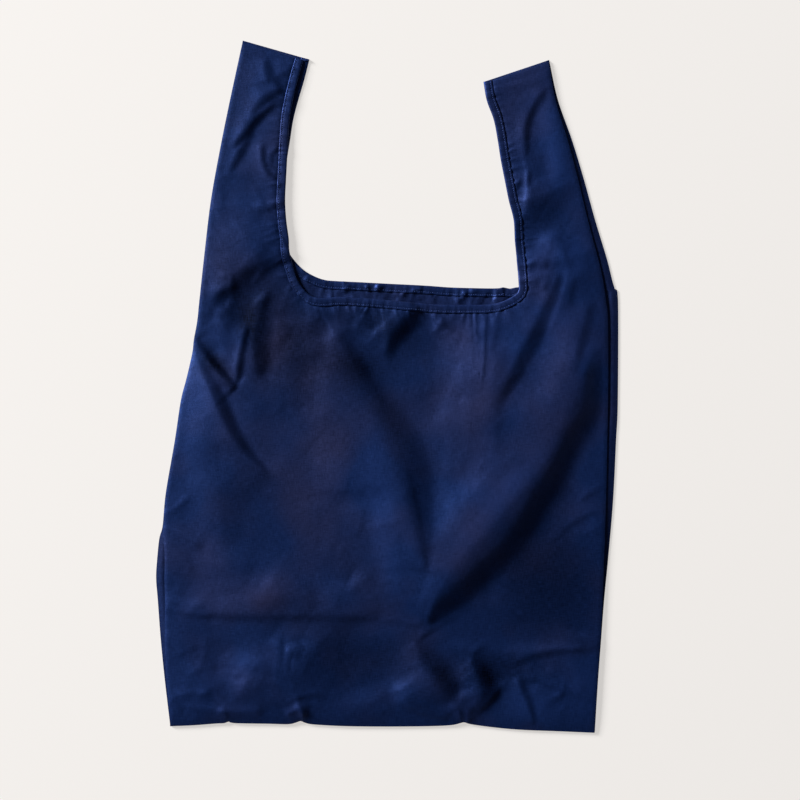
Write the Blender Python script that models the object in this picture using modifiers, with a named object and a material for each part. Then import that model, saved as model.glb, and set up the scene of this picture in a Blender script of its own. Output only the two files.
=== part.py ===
"""Foldable nylon tote bag with two integral handles, lying flat on its back.

+X runs across the bag, +Y from the bottom seam to the handles and +Z up through its layers.
The origin is under the middle of the bag, on the surface that it lies on.
The cloth is divided where the bag folds: a middle column that the two side columns fold over,
two handles that fold down over the side columns, and the front of the mouth, which lifts.
Every dimension below is in millimetres, and MM turns it into Blender's metres.
"""

import math

import bmesh
import bpy
from mathutils import Vector

MM = 0.001

# Layers, from the surface up
BAG_T = 7.0  # the flat bag, with the air left in it
CLOTH_T = 0.5  # one layer of cloth, thickened to stand as a solid
GAP = 0.3  # between pieces that are sewn together
BINDING_T = 1.0  # binding folded over the edge
MID_Z = BAG_T / 2

# Widths
HEM_W = 7.5  # binding round the mouth and up the inner side of the handles
SEAM_W = 4.0  # seam across the bottom
TOP_SEAM_W = 8.0  # seam across the top of a handle
GUSSET_DEPTH = 76.0  # how far the side gusset folds in: half of the 152 mm base
HANDLE_GUSSET_DEPTH = 64.0  # the same where the gusset runs into a handle

# Edges of the flat bag, as (x, y) points joined by smooth curves
LEFT_EDGE = [
    (-201, -316), (-210, -235), (-214.8, -176), (-204, -87), (-187, 6),
    (-174, 86), (-169, 127), (-161, 188), (-150, 248), (-136, 322),
]
RIGHT_BACK_EDGE = [
    (193.5, -322), (201.5, -200), (210, -105), (214.5, -12), (214.8, 60),
    (208, 105), (199, 137), (175, 220), (151.5, 303),
]
RIGHT_FRONT_EDGE = [
    (193.5, -322), (200.5, -200), (204, -83), (205.5, -12), (204.6, 53),
    (202, 88), (195, 118), (186, 153), (173, 200), (151.5, 303),
]
BOTTOM_EDGE = [(-201, -316), (-148, -313), (-80, -311), (30, -315.5), (70, -312), (120, -319), (193.5, -322)]
LEFT_INNER_EDGE = [
    (-89, 122), (-93, 141), (-94.4, 160), (-94, 188), (-92, 220), (-87.4, 248), (-81, 273), (-72.5, 304),
]
RIGHT_INNER_EDGE = [
    (122.5, 88), (121, 123), (119, 148), (114.4, 171), (109.7, 192.5), (105, 220), (99.5, 248), (93, 267), (90, 284),
]
FRONT_MOUTH = [
    (-89, 122), (-85, 106), (-76.5, 92), (-65, 85), (-41, 82.8), (-7, 80.4),
    (24, 77.4), (55, 75.8), (92, 75.8), (109, 78.5), (122.5, 88),
]
BACK_MOUTH = [
    (-89, 122), (-76.5, 109), (-65.5, 102), (-51.5, 98.5), (-39, 97.5), (24, 94), (92, 91), (108, 90), (122.5, 88),
]

# Lines that the bag folds on
LEFT_FOLD = ((-80.0, -314.0), (-50.0, 81.0))
RIGHT_FOLD = ((68.0, -318.0), (80.0, 76.0))
HANDLE_ROOT_Y = 137.0
MOUTH_HINGE_Y = -90.0

# Heights of the fold axes. A fold stops half a degree short of flat, so its far edge stands a little high,
# and each fold lands a gap above what lies under it: a handle folds first, onto its own side;
# then the left side folds over the middle, and the right side over both.
FOLD_SLOPE = math.sin(math.radians(0.5))
HANDLE_LENGTH = 185.0
SIDE_WIDTH = 150.0
HANDLE_FOLD_Z = BAG_T + 0.2
HANDLE_TOP_Z = 2 * HANDLE_FOLD_Z + HANDLE_LENGTH * FOLD_SLOPE
LEFT_FOLD_Z = (BAG_T + GAP + HANDLE_TOP_Z) / 2
LEFT_TOP_Z = 2 * LEFT_FOLD_Z + SIDE_WIDTH * FOLD_SLOPE
RIGHT_FOLD_Z = (LEFT_TOP_Z + GAP + HANDLE_TOP_Z) / 2
MOUTH_HINGE_Z = BAG_T - CLOTH_T / 2

EDGE_STEP = 14.0  # spacing of the points that are read from an edge


def clear_scene():
    for obj in list(bpy.data.objects):
        bpy.data.objects.remove(obj, do_unlink=True)


def new_material(name, colour, roughness):
    material = bpy.data.materials.new(name)
    material.use_nodes = True
    shader = material.node_tree.nodes["Principled BSDF"]
    shader.inputs["Base Color"].default_value = (*colour, 1.0)
    shader.inputs["Roughness"].default_value = roughness
    shader.inputs["Metallic"].default_value = 0.0
    return material


def new_collection(name):
    collection = bpy.data.collections.new(name)
    bpy.context.scene.collection.children.link(collection)
    return collection


def new_pivot(collection, name, x, y, z):
    """An empty on a joint's axis, which the pieces of one moving group hang on."""
    pivot = bpy.data.objects.new(name + "_pivot", None)
    pivot.location = Vector((x, y, z)) * MM
    pivot.empty_display_size = 0.02
    collection.objects.link(pivot)
    return pivot


# ---- edges -------------------------------------------------------------------------------

def smooth(points, step=EDGE_STEP):
    """Points about a step apart on a Catmull-Rom curve through the given ones."""
    ends = [points[0], *points, points[-1]]
    curve = []
    for a, b, c, d in zip(ends, ends[1:], ends[2:], ends[3:]):
        a, b, c, d = (Vector(p) for p in (a, b, c, d))
        pieces = max(1, round((c - b).length / step))
        for i in range(pieces):
            t = i / pieces
            curve.append(
                0.5 * (2 * b + (c - a) * t + (2 * a - 5 * b + 4 * c - d) * t**2
                       + (3 * b - a - 3 * c + d) * t**3)
            )
    curve.append(Vector(points[-1]))
    return curve


def offset(curve, distance):
    """The curve moved sideways, to its left as it runs."""
    moved = []
    for i, point in enumerate(curve):
        along = (curve[min(i + 1, len(curve) - 1)] - curve[max(i - 1, 0)]).normalized()
        moved.append(point + Vector((-along.y, along.x)) * distance)
    return moved


def clip(outline, point, normal):
    """The part of a closed outline on the side of a straight line that the normal points to."""
    point, normal = Vector(point), Vector(normal).normalized()
    kept = []
    for a, b in zip(outline, outline[1:] + outline[:1]):
        side_a, side_b = (a - point).dot(normal), (b - point).dot(normal)
        if side_a >= 0:
            kept.append(a)
        if (side_a >= 0) != (side_b >= 0):
            kept.append(a.lerp(b, side_a / (side_a - side_b)))
    return kept


def right_of(outline, line, gap=GAP / 2):
    """The part of an outline to the right of a fold line, which runs upwards."""
    start, end = Vector(line[0]), Vector(line[1])
    across = Vector((end.y - start.y, start.x - end.x)).normalized()
    return clip(outline, start + across * gap, across)


def left_of(outline, line, gap=GAP / 2):
    start, end = Vector(line[0]), Vector(line[1])
    across = Vector((start.y - end.y, end.x - start.x)).normalized()
    return clip(outline, start + across * gap, across)


def above(outline, y, gap=GAP / 2):
    return clip(outline, (0, y + gap), (0, 1))


def below(outline, y, gap=GAP / 2):
    return clip(outline, (0, y - gap), (0, -1))


def x_on(curve, y):
    """Where a curve that runs upwards crosses a height."""
    for a, b in zip(curve, curve[1:]):
        if a.y <= y <= b.y:
            return a.lerp(b, (y - a.y) / (b.y - a.y)).x
    return curve[0].x if y < curve[0].y else curve[-1].x


def layer_outline(mouth, right_edge, inset):
    """One whole layer of the bag with both its handles, inset from the mouth, the bottom and the handle tops."""
    inner = smooth(list(reversed(LEFT_INNER_EDGE))) + smooth(mouth)[1:] + smooth(RIGHT_INNER_EDGE)[1:]
    inner = offset(inner, -inset) if inset else inner
    bottom = offset(smooth(BOTTOM_EDGE), SEAM_W + GAP if inset else 0)
    outline = bottom + smooth(right_edge)[1:] + list(reversed(inner)) + list(reversed(smooth(LEFT_EDGE)))[:-1]
    if inset:
        for inner_top, outer_top, out in (
            (LEFT_INNER_EDGE[-1], LEFT_EDGE[-1], 1),
            (RIGHT_INNER_EDGE[-1], right_edge[-1], -1),
        ):
            across = (Vector(inner_top) - Vector(outer_top)).normalized() * out
            down = Vector((across.y, -across.x))
            outline = clip_near(outline, Vector(outer_top) + down * (TOP_SEAM_W + GAP), down)
    return outline


def clip_near(outline, point, normal):
    """Clips only the side of the bag, left or right, that the point is on."""
    side = 1 if point.x > 0 else -1
    kept = []
    for a, b in zip(outline, outline[1:] + outline[:1]):
        near_a, near_b = a.x * side > 0 and a.y > HANDLE_ROOT_Y, b.x * side > 0 and b.y > HANDLE_ROOT_Y
        side_a, side_b = (a - point).dot(normal), (b - point).dot(normal)
        if side_a >= 0 or not near_a:
            kept.append(a)
        if near_a and near_b and (side_a >= 0) != (side_b >= 0):
            kept.append(a.lerp(b, side_a / (side_a - side_b)))
    return kept


def band(curve, width):
    """The closed outline of a band between a curve and the same curve moved to its right."""
    return list(curve) + list(reversed(offset(curve, -width)))


# ---- solids ------------------------------------------------------------------------------

def flat_piece(name, outline, low, high, material, pivot, collection):
    """A flat piece of cloth: a filled outline, extruded between two heights."""
    data = bpy.data.curves.new(name, "CURVE")
    data.dimensions = "2D"
    data.fill_mode = "BOTH"
    data.extrude = (high - low) / 2 * MM
    spline = data.splines.new("POLY")
    spline.points.add(len(outline) - 1)
    origin = pivot.location if pivot else Vector((0, 0, 0))
    for point, at in zip(spline.points, outline):
        point.co = (at.x * MM - origin.x, at.y * MM - origin.y, 0, 1)
    spline.use_cyclic_u = True
    data.materials.append(material)
    piece = bpy.data.objects.new(name, data)
    piece.location.z = (low + high) / 2 * MM - origin.z
    piece.parent = pivot
    collection.objects.link(piece)
    return piece


def gusset_piece(name, front_edge, back_edge, inward, material, pivot, collection):
    """A side gusset folded into the bag: a sheet through the outer edges and the fold between them, solidified."""
    outer_low, outer_high = CLOTH_T * 1.5 + GAP, BAG_T - CLOTH_T * 1.5 - GAP
    fold_r = 0.6
    near = sorted((front_edge[0].x, front_edge[0].x + inward * (GUSSET_DEPTH + 10)))
    low_y = max(p.y for p in smooth(BOTTOM_EDGE) if near[0] <= p.x <= near[1]) + SEAM_W + 2 * GAP
    heights = [low_y + (HANDLE_ROOT_Y - GAP - low_y) * i / 24 for i in range(25)]
    mesh = bpy.data.meshes.new(name)
    shape = bmesh.new()
    rows = []
    taper_y = 80.0
    for y in heights:
        taper = max(0.0, (y - taper_y) / (HANDLE_ROOT_Y - taper_y))
        depth = GUSSET_DEPTH + (HANDLE_GUSSET_DEPTH - GUSSET_DEPTH) * taper
        front_x, back_x = x_on(front_edge, y), x_on(back_edge, y)
        fold_x = back_x + inward * depth
        profile = (
            (back_x + inward, outer_low),
            (fold_x - inward, MID_Z - fold_r),
            (fold_x, MID_Z),
            (fold_x - inward, MID_Z + fold_r),
            (front_x + inward, outer_high),
        )
        rows.append([shape.verts.new(Vector((x, y, z)) * MM - pivot.location) for x, z in profile])
    for row, following in zip(rows, rows[1:]):
        for i in range(len(row) - 1):
            corners = (row[i], row[i + 1], following[i + 1], following[i])
            shape.faces.new(corners if inward > 0 else tuple(reversed(corners)))
    shape.to_mesh(mesh)
    shape.free()
    mesh.materials.append(material)
    piece = bpy.data.objects.new(name, mesh)
    piece.parent = pivot
    collection.objects.link(piece)
    solid = piece.modifiers.new("cloth", "SOLIDIFY")
    solid.thickness = CLOTH_T * MM
    solid.offset = 0.0
    mesh.shade_smooth()
    return piece


# ---- the bag -----------------------------------------------------------------------------

def build_center(collection, layers, bindings, bottom, cloth, tape, seam):
    """The middle column, which the others fold onto."""
    root = new_pivot(collection, "center", 0, 0, 0)

    def middle(outline):
        return left_of(right_of(outline, LEFT_FOLD), RIGHT_FOLD)

    front = below(middle(layers["front"]), MOUTH_HINGE_Y, GAP)
    flat_piece("front_panel_center", front, BAG_T - CLOTH_T, BAG_T, cloth, root, collection)
    flat_piece("back_panel_center", middle(layers["back"]), 0, CLOTH_T, cloth, root, collection)
    flat_piece("back_binding_center", middle(bindings["back"]), 0, BINDING_T, tape, root, collection)
    flat_piece("bottom_seam_center", middle(bottom), 0, BAG_T, seam, root, collection)

    lip = new_pivot(collection, "mouth_front", 0, MOUTH_HINGE_Y, MOUTH_HINGE_Z)
    lifted = above(middle(layers["front"]), MOUTH_HINGE_Y, GAP)
    flat_piece("front_panel_mouth", lifted, BAG_T - CLOTH_T, BAG_T, cloth, lip, collection)
    tape_front = middle(bindings["front"])
    flat_piece("front_binding_center", tape_front, BAG_T - BINDING_T, BAG_T, tape, lip, collection)


def build_side(side, collection, layers, bindings, bottom, cloth, tape, seam):
    """A side column: its part of the front and back, the gusset folded between them, and its seams."""
    fold, fold_z, beyond = (LEFT_FOLD, LEFT_FOLD_Z, left_of) if side == "left" else (RIGHT_FOLD, RIGHT_FOLD_Z, right_of)
    pivot = new_pivot(collection, side + "_side", *fold[0], fold_z)

    def column(outline):
        return below(beyond(outline, fold), HANDLE_ROOT_Y)

    flat_piece("front_panel_" + side, column(layers["front"]), BAG_T - CLOTH_T, BAG_T, cloth, pivot, collection)
    flat_piece("back_panel_" + side, column(layers["back"]), 0, CLOTH_T, cloth, pivot, collection)
    front_tape, back_tape = column(bindings["front"]), column(bindings["back"])
    flat_piece("front_binding_" + side, front_tape, BAG_T - BINDING_T, BAG_T, tape, pivot, collection)
    flat_piece("back_binding_" + side, back_tape, 0, BINDING_T, tape, pivot, collection)
    flat_piece("bottom_seam_" + side, column(bottom), 0, BAG_T, seam, pivot, collection)
    if side == "left":
        edges = smooth(LEFT_EDGE), smooth(LEFT_EDGE), 1
    else:
        edges = smooth(RIGHT_FRONT_EDGE), smooth(RIGHT_BACK_EDGE), -1
    gusset_piece("gusset_" + side, *edges, cloth, pivot, collection)


def build_handle(side, collection, layers, bindings, whole, cloth, tape, seam):
    """A handle: a front and a back strap, each of a panel and a gusset leaf in one binding, sewn together on top."""
    fold, beyond = (LEFT_FOLD, left_of) if side == "left" else (RIGHT_FOLD, right_of)
    middle_x = (LEFT_EDGE if side == "left" else RIGHT_BACK_EDGE)[-1][0]
    pivot = new_pivot(collection, side + "_handle", middle_x, HANDLE_ROOT_Y, HANDLE_FOLD_Z)
    stem = "handle_" + side + "_"

    def strap(outline):
        return above(beyond(outline, fold), HANDLE_ROOT_Y)

    leaf = CLOTH_T + GAP
    front, back = strap(layers["front"]), strap(layers["back"])
    flat_piece(stem + "front", front, BAG_T - CLOTH_T, BAG_T, cloth, pivot, collection)
    flat_piece(stem + "gusset_front", front, BAG_T - leaf - CLOTH_T, BAG_T - leaf, cloth, pivot, collection)
    flat_piece(stem + "gusset_back", back, leaf, leaf + CLOTH_T, cloth, pivot, collection)
    flat_piece(stem + "back", back, 0, CLOTH_T, cloth, pivot, collection)
    front_tape, back_tape = strap(bindings["front"]), strap(bindings["back"])
    flat_piece(stem + "front_binding", front_tape, BAG_T - BINDING_T, BAG_T, tape, pivot, collection)
    flat_piece(stem + "back_binding", back_tape, 0, BINDING_T, tape, pivot, collection)

    inner_top, outer_top = (
        (LEFT_INNER_EDGE[-1], LEFT_EDGE[-1]) if side == "left" else (RIGHT_INNER_EDGE[-1], RIGHT_BACK_EDGE[-1])
    )
    across = (Vector(inner_top) - Vector(outer_top)).normalized()
    down = Vector((across.y, -across.x)) if side == "left" else Vector((-across.y, across.x))
    top_seam = clip(strap(whole), Vector(outer_top) + down * TOP_SEAM_W, -down)
    flat_piece(stem + "top_seam", top_seam, 0, BAG_T, seam, pivot, collection)


def mouth_band(mouth):
    """The binding along the inner side of both handles and the mouth between them, short of the top seams."""
    curve = smooth(list(reversed(LEFT_INNER_EDGE))) + smooth(mouth)[1:] + smooth(RIGHT_INNER_EDGE)[1:]
    outline = band(curve, HEM_W)
    for inner_top, outer_top, out in (
        (LEFT_INNER_EDGE[-1], LEFT_EDGE[-1], 1),
        (RIGHT_INNER_EDGE[-1], RIGHT_BACK_EDGE[-1], -1),
    ):
        across = (Vector(inner_top) - Vector(outer_top)).normalized() * out
        down = Vector((across.y, -across.x))
        outline = clip_near(outline, Vector(outer_top) + down * (TOP_SEAM_W + GAP), down)
    return outline


def build_bag():
    clear_scene()
    bag = new_collection("foldable_tote_bag")
    cloth = new_material("nylon", (0.012, 0.022, 0.085), 0.42)
    tape = new_material("binding", (0.013, 0.024, 0.090), 0.48)
    seam = new_material("seam", (0.010, 0.019, 0.075), 0.55)

    layers = {
        "front": layer_outline(FRONT_MOUTH, RIGHT_FRONT_EDGE, HEM_W + GAP),
        "back": layer_outline(BACK_MOUTH, RIGHT_BACK_EDGE, HEM_W + GAP),
    }
    whole = layer_outline(BACK_MOUTH, RIGHT_BACK_EDGE, 0)
    bindings = {"front": mouth_band(FRONT_MOUTH), "back": mouth_band(BACK_MOUTH)}
    bottom = band(list(reversed(smooth(BOTTOM_EDGE))), SEAM_W)

    materials = (cloth, tape, seam)
    build_center(bag, layers, bindings, bottom, *materials)
    for side in ("left", "right"):
        build_side(side, bag, layers, bindings, bottom, *materials)
        build_handle(side, bag, layers, bindings, whole, *materials)


build_bag()
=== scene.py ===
"""A foldable nylon tote bag, lying flat, built on the frame that the CAD model gives.

Plan positions are in millimetres in the CAD frame: +X across the bag, +Y from the bottom seam to
the handles, +Z up. The layers of cloth are height fields over the plan, cut along the lines that the
bag folds on, into one piece for each part between them. MM turns millimetres into metres.
"""

import math

import bpy
import numpy as np
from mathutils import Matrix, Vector, geometry, kdtree


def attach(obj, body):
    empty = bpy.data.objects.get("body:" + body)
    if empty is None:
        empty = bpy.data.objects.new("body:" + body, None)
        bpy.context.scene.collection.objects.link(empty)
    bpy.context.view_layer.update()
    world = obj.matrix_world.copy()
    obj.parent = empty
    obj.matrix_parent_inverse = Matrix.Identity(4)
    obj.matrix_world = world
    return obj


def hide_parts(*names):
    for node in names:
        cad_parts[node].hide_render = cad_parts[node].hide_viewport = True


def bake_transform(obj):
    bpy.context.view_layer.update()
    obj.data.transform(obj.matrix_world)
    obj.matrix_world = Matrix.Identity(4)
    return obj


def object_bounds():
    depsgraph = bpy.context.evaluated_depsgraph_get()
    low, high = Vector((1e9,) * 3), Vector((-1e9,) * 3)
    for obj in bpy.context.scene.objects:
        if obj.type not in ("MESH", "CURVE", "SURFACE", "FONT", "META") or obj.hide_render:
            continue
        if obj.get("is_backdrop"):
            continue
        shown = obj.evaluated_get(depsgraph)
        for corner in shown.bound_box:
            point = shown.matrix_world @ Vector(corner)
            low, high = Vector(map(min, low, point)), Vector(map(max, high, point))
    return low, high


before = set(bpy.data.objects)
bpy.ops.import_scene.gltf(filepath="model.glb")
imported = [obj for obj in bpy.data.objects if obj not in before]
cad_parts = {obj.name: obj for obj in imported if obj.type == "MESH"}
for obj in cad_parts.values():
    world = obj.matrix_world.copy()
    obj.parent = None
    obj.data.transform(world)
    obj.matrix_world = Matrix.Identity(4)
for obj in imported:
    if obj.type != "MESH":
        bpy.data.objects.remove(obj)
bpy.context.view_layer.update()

MM = 0.001

# ---- the cut of the bag, in millimetres ------------------------------------------------------

LEFT_BACK = [
    (-201.5, -315), (-206.5, -273), (-210.2, -236), (-213, -199), (-214.6, -178), (-213.6, -160),
    (-211.6, -141), (-208.6, -130), (-206.5, -106), (-203.7, -87), (-197.2, -50), (-191.6, -13),
    (-186.5, 7), (-181, 31), (-179.6, 43), (-176.5, 60), (-174.4, 80), (-169.3, 127), (-163.7, 173),
    (-155.3, 220), (-146, 266), (-135.8, 313), (-134, 321.5),
]
LEFT_FRONT = [
    (-200.9, -315), (-204.6, -273), (-206.2, -236), (-206.2, -199), (-206.6, -178), (-206.4, -160),
    (-207.4, -141), (-207.9, -130), (-206.1, -106), (-203.3, -87), (-196.8, -50), (-191.2, -13),
    (-186.1, 7), (-180.6, 31), (-179.2, 43), (-176.1, 60), (-174.0, 80), (-168.9, 127), (-163.3, 173),
    (-154.9, 220), (-145.6, 266), (-135.4, 313), (-133.8, 321),
]
RIGHT_BACK = [
    (193.2, -321), (196.2, -273), (199, -236), (201.8, -199), (205.5, -161), (210.2, -106), (213, -50),
    (214.6, -13), (214.8, 80), (212, 90), (209.3, 99), (204.6, 118), (193.4, 155), (183.2, 192), (172, 229),
    (159, 266), (150.7, 303.5),
]
RIGHT_FRONT = [
    (192.8, -321), (195.8, -273), (198.4, -236), (200.2, -199), (201.6, -161), (203.4, -106), (204.6, -50),
    (205.4, -13), (205.2, 60), (203.2, 80), (200.5, 99), (196.2, 118), (186.4, 155), (177.5, 192),
    (167.6, 229), (156.4, 266), (149.9, 303),
]
BOTTOM = [
    (-201.5, -315.5), (-180, -314.6), (-159, -313), (-151, -312.6), (-147, -311), (-142, -312.6),
    (-110, -313.2), (-92, -313.6), (-85, -312.2), (-80, -310.6), (-75, -312.6), (-66, -314), (-38, -315.4),
    (0, -315.8), (40, -315.4), (60, -314.4), (68, -312.6), (72, -311.8), (78, -313.6), (100, -316.6),
    (125, -318.8), (160, -320.2), (192.9, -321.6),
]
LEFT_INNER_FRONT = [
    (-90.4, 122), (-91.2, 130), (-91.4, 137), (-93.8, 155), (-94.8, 173), (-94, 192), (-93, 211),
    (-92.2, 227), (-90.8, 248), (-87.6, 266), (-83, 285), (-78.3, 301.5), (-77.9, 303),
]
LEFT_INNER_BACK = [
    (-90.2, 122), (-92, 130), (-92.6, 137), (-94.6, 155), (-95.4, 173), (-94.6, 192), (-93.2, 211),
    (-90.4, 229), (-87.4, 248), (-82.8, 266), (-77.2, 285), (-72.8, 302.5), (-72.4, 304),
]
RIGHT_INNER = [
    (122.9, 92), (121.8, 108), (120, 127), (119.1, 136), (118, 155), (113.5, 173), (109.7, 192), (106, 211),
    (103.2, 229), (99.5, 248), (93, 266), (90, 283),
]
FRONT_MOUTH = [
    (-90.4, 122), (-87, 110), (-83.4, 99), (-77.5, 90), (-70, 83.6), (-60, 81.6), (-41, 82.8), (-7, 80.4),
    (31, 76.8), (55, 75.4), (92, 75.6), (105, 77.8), (115, 82.2), (121.6, 87.2), (122.9, 92),
]
BACK_MOUTH = [
    (-90.2, 122), (-84.5, 114.8), (-77, 107.4), (-66.5, 101.6), (-57.5, 98.6), (-47, 97.6), (-30, 96.8),
    (0, 95.2), (36, 93.4), (62, 91.6), (100, 90.8), (108, 91.8), (114, 90.6), (119, 91.6), (122.9, 92),
]
LEFT_FOLD = ((-80.0, -314.0), (-50.0, 81.0))
RIGHT_FOLD = ((68.0, -318.0), (80.0, 76.0))
HANDLE_ROOT_Y = 137.0
MOUTH_HINGE_Y = -90.0
FOLD_ZONE = 13.0  # how much cloth turns at each fold
FOLD_TOP = 105.0  # the side folds end in the mouth, below this
STILL_ROWS = (0.4, 1.1, 2.2)  # rows of points on the still side of each fold
HEM_W = 7.2
GUSSET_DEPTH = 70.0
CLOTH_T, GUSSET_T, TAPE_T = 0.3, 0.2, 0.22
STITCH_IN, STITCH_STEP, STITCH_WIDE, STITCH_HIGH, STITCH_LIFT = 5.7, 2.1, 0.62, 0.5, 0.40

# heights above the floor: where the front cloth lies, and how low and high its folds go
FRONT_LIES, FRONT_LOW, FRONT_HIGH = 4.5, 2.3, 11.0
LANDING_ROOM = 4.0  # how much lower the folds stay where the left handle lands
BACK_LIES, BACK_LOW, BACK_HIGH = 0.95, 0.5, 2.5


def smooth(points, step):
    """Points about a step apart on a Catmull-Rom curve through the given ones."""
    p = np.array(points, float)
    p = np.vstack([2 * p[0] - p[1], p, 2 * p[-1] - p[-2]])
    curve = []
    for a, b, c, d in zip(p, p[1:], p[2:], p[3:]):
        n = max(1, round(float(np.hypot(*(c - b))) / step))
        t = (np.arange(n) / n)[:, None]
        curve.append(
            0.5 * (2 * b + (c - a) * t + (2 * a - 5 * b + 4 * c - d) * t**2 + (3 * b - a - 3 * c + d) * t**3)
        )
    return np.vstack([*curve, p[-2]])


def even(curve, step):
    """The same polyline with its points an even step apart."""
    s = np.concatenate([[0], np.cumsum(np.hypot(*np.diff(curve, axis=0).T))])
    at = np.linspace(0, s[-1], max(2, round(s[-1] / step)) + 1)
    return np.column_stack([np.interp(at, s, curve[:, i]) for i in range(2)])


def near(path, x, y):
    """Signed distance from a polyline, positive to its left, and the length along it of the nearest point."""
    path, x, y = np.asarray(path, float), np.asarray(x, float), np.asarray(y, float)
    starts = np.concatenate([[0], np.cumsum(np.hypot(*np.diff(path, axis=0).T))])
    last = len(path) - 2
    tried = range(last + 1)
    if len(path) > 60:
        # on a curve of many points, only the two stretches that meet at its nearest point are measured
        tree = kdtree.KDTree(len(path))
        for i, (px, py) in enumerate(path):
            tree.insert((px, py, 0), i)
        tree.balance()
        places = zip(x.ravel().tolist(), y.ravel().tolist())
        closest = np.array([tree.find((px, py, 0))[1] for px, py in places], int).reshape(x.shape)
        tried = [np.clip(closest - 1, 0, last), np.clip(closest, 0, last)]
    best, side, run = np.full(x.shape, 1e9), np.zeros(x.shape), np.zeros(x.shape)
    for i in tried:
        ax, ay = path[i, 0], path[i, 1]
        dx, dy = path[i + 1, 0] - ax, path[i + 1, 1] - ay
        length = np.hypot(dx, dy)
        t = np.clip(((x - ax) * dx + (y - ay) * dy) / length**2, 0, 1)
        d = np.hypot(x - ax - t * dx, y - ay - t * dy)
        closer = d < best
        best = np.where(closer, d, best)
        side = np.where(closer, np.sign(dx * (y - ay) - dy * (x - ax)), side)
        run = np.where(closer, starts[i] + t * length, run)
    return best * side, run


def ramp(t):
    t = np.clip(t, 0, 1)
    return t * t * (3 - 2 * t)


def beyond(line, x, y):
    """Distance to the left of a fold line that runs upwards."""
    (ax, ay), (bx, by) = line
    n = math.hypot(bx - ax, by - ay)
    return ((bx - ax) * (y - ay) - (by - ay) * (x - ax)) / n


def across(edge, y):
    return np.interp(y, edge[:, 1], edge[:, 0])


E_LEFT_FRONT, E_LEFT_BACK = smooth(LEFT_FRONT, 3), smooth(LEFT_BACK, 3)
E_RIGHT_FRONT, E_RIGHT_BACK = smooth(RIGHT_FRONT, 3), smooth(RIGHT_BACK, 3)
E_BOTTOM = smooth(BOTTOM, 2)
INNER_FRONT, INNER_BACK = (
    np.vstack([smooth(left, 2)[::-1], smooth(mouth, 2)[1:], smooth(RIGHT_INNER, 2)[1:]])
    for left, mouth in ((LEFT_INNER_FRONT, FRONT_MOUTH), (LEFT_INNER_BACK, BACK_MOUTH))
)


# ---- how the cloth lies -----------------------------------------------------------------------

def crease(x, y, path, height, left, right, crest=1.5, ends=(18, 18)):
    """A fold along a path: a crest or, with a negative height, a valley.

    Its flanks fall away over left and right mm.
    """
    path = smooth(path, 10) if len(path) > 2 else np.array(path, float)
    total = float(np.hypot(*np.diff(path, axis=0).T).sum())
    reach = 4 * max(left, right) + 5
    low, high = path.min(0) - reach, path.max(0) + reach
    inside = (x > low[0]) & (x < high[0]) & (y > low[1]) & (y < high[1])
    out = np.zeros(x.shape)
    if inside.any():
        px, py = x[inside], y[inside]
        d, run = near(path, px, py)
        width = np.where(d > 0, left, right)
        flank = np.exp(-(np.sqrt(d * d + crest * crest) - crest) / width)
        fade = ramp(run / ends[0]) if ends[0] else 1.0
        fade = fade * (ramp((total - run) / ends[1]) if ends[1] else 1.0)
        out[inside] = height * flank * fade
    return out


def facet(x, y, path, angle, reach, ends, lift):
    """A fold with a flat side: cloth that slopes over a band, and eases back over reach mm on both sides.

    The path gives the middle of the band and half its width. The left side is the higher one if the angle
    is positive. A lift of 1 raises all of the band above the cloth around it, and 0 sinks its lower side as
    much as it raises the higher one.
    """
    keys = np.array(path, float)
    curve = smooth(keys[:, :2], 10)
    total = float(np.hypot(*np.diff(curve, axis=0).T).sum())
    at = np.concatenate([[0], np.cumsum(np.hypot(*np.diff(keys[:, :2], axis=0).T))])
    far = 4 * reach + keys[:, 2].max()
    low, high = curve.min(0) - far, curve.max(0) + far
    inside = (x > low[0]) & (x < high[0]) & (y > low[1]) & (y < high[1])
    out = np.zeros(x.shape)
    if inside.any():
        d, run = near(curve, x[inside], y[inside])
        half = np.interp(run, at * total / at[-1], keys[:, 2])
        off = np.abs(d)
        crisp = 1.8 + 2.7 * float(ramp((abs(angle) - 9) / 6))
        level = np.sign(d) * off / (1 + (off / half) ** crisp) ** (1 / crisp)
        fade = ramp(run / ends[0]) * ramp((total - run) / ends[1])
        rise = math.tan(math.radians(angle))
        ease = np.exp(-np.clip(off - half, 0, None) / reach)
        out[inside] = (rise * level + abs(rise) * half * lift) * ease * fade
    return out


def swell(x, y, cx, cy, height, along, wide, turn=0.0):
    """A soft rise or hollow."""
    c, s = math.cos(math.radians(turn)), math.sin(math.radians(turn))
    u, v = (x - cx) * c + (y - cy) * s, -(x - cx) * s + (y - cy) * c
    return height * np.exp(-((u / along) ** 2) - (v / wide) ** 2)


def crumple(x, y, seed, count, box, lengths, widths, heights):
    """Many small creases that lie anyhow, the same on each run."""
    pick = np.random.default_rng(seed)
    z = np.zeros(x.shape)
    for _ in range(count):
        cx, cy = pick.uniform(box[0], box[2]), pick.uniform(box[1], box[3])
        angle, half = pick.uniform(0, math.pi), pick.uniform(*lengths) / 2
        dx, dy = math.cos(angle) * half, math.sin(angle) * half
        bend = pick.uniform(-0.25, 0.25)
        path = [(cx - dx, cy - dy), (cx - dy * bend, cy + dx * bend), (cx + dx, cy + dy)]
        w = pick.uniform(*widths)
        height = pick.uniform(*heights) * pick.choice([-1, 1])
        z += crease(x, y, path, height, w, w * pick.uniform(0.5, 2), 0.8, (half * 0.8, half * 0.8))
    return z


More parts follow.
